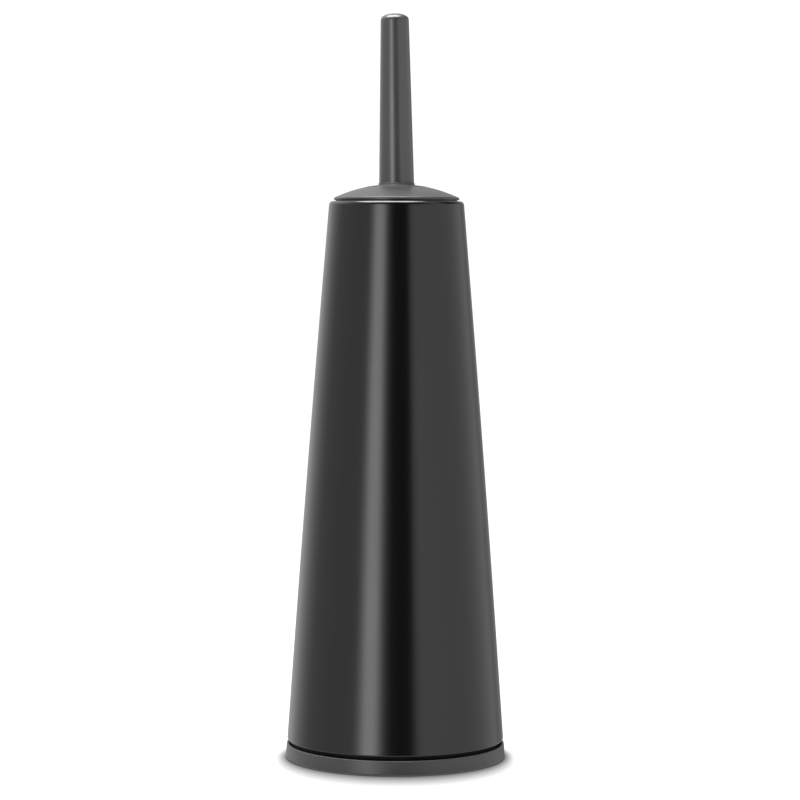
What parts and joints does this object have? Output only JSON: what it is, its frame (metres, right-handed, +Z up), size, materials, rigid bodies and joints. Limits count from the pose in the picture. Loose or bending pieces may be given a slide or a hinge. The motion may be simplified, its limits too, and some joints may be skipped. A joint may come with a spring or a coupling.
{
  "type": "toilet brush holder",
  "caption": "Free-standing conical toilet brush holder: coated steel sleeve on a plastic base, with a lift-out bucket and a lidded brush whose head unscrews.",
  "frame": {"origin": "on the floor at the centre of the round base", "axes": "+Z up along the sleeve and the brush; -Y is the front"},
  "size_m": [0.1262, 0.1262, 0.4257],
  "materials": {
    "coated_steel": "satin black powder coat",
    "base_plastic": "matte dark grey",
    "grip_plastic": "satin dark grey",
    "bucket_plastic": "smooth moulded",
    "edge_plastic": "matte black",
    "soft_rubber": "matte",
    "rod_steel": "brushed",
    "head_plastic": "moulded",
    "bristle": "stiff nylon filament"
  },
  "bodies": {
    "base": {"base_foot": "base_plastic", "non_slip_ring": "soft_rubber"},
    "bucket": {"bucket": "bucket_plastic"},
    "sleeve": {"outer_cone": "coated_steel", "cone_edge_ring": "edge_plastic"},
    "lid": {"lid": "grip_plastic"},
    "brush": {"grip_flange": "grip_plastic", "grip": "grip_plastic", "slip_washer": "edge_plastic", "retaining_nut": "edge_plastic", "brush_rod": "rod_steel", "rod_pin": "rod_steel", "rod_stud": "head_plastic"},
    "seal": {"seal_washer": "soft_rubber"},
    "brush_head": {"head_core": "head_plastic", "side_bristles": "bristle", "tip_bristles": "bristle"}
  },
  "joints": [
    {"name": "bucket_lift", "type": "slide", "parent": "base", "child": "bucket", "axis": [0, 0, 1], "range_m": [0, 0.06]},
    {"name": "cone_lift", "type": "slide", "parent": "bucket", "child": "sleeve", "axis": [0, 0, 1], "range_m": [0, 0.13]},
    {"name": "brush_lift", "type": "slide", "parent": "sleeve", "child": "lid", "axis": [0, 0, 1], "range_m": [0, 0.33]},
    {"name": "brush_spin", "type": "hinge", "parent": "lid", "child": "brush", "pos_m": [0, 0, 0.33], "axis": [0, 0, 1], "continuous": true},
    {"name": "head_travel", "type": "slide", "parent": "brush", "child": "seal", "axis": [0, 0, -1], "range_m": [0, 0.0105]},
    {"name": "head_unscrew", "type": "hinge", "parent": "seal", "child": "brush_head", "pos_m": [0, 0, 0.1], "axis": [0, 0, -1], "range_deg": [0, 1260]}
  ],
  "couplings": [
    {"joint": "head_travel", "follows": "head_unscrew", "m_per_rad": 0.00047746}
  ]
}
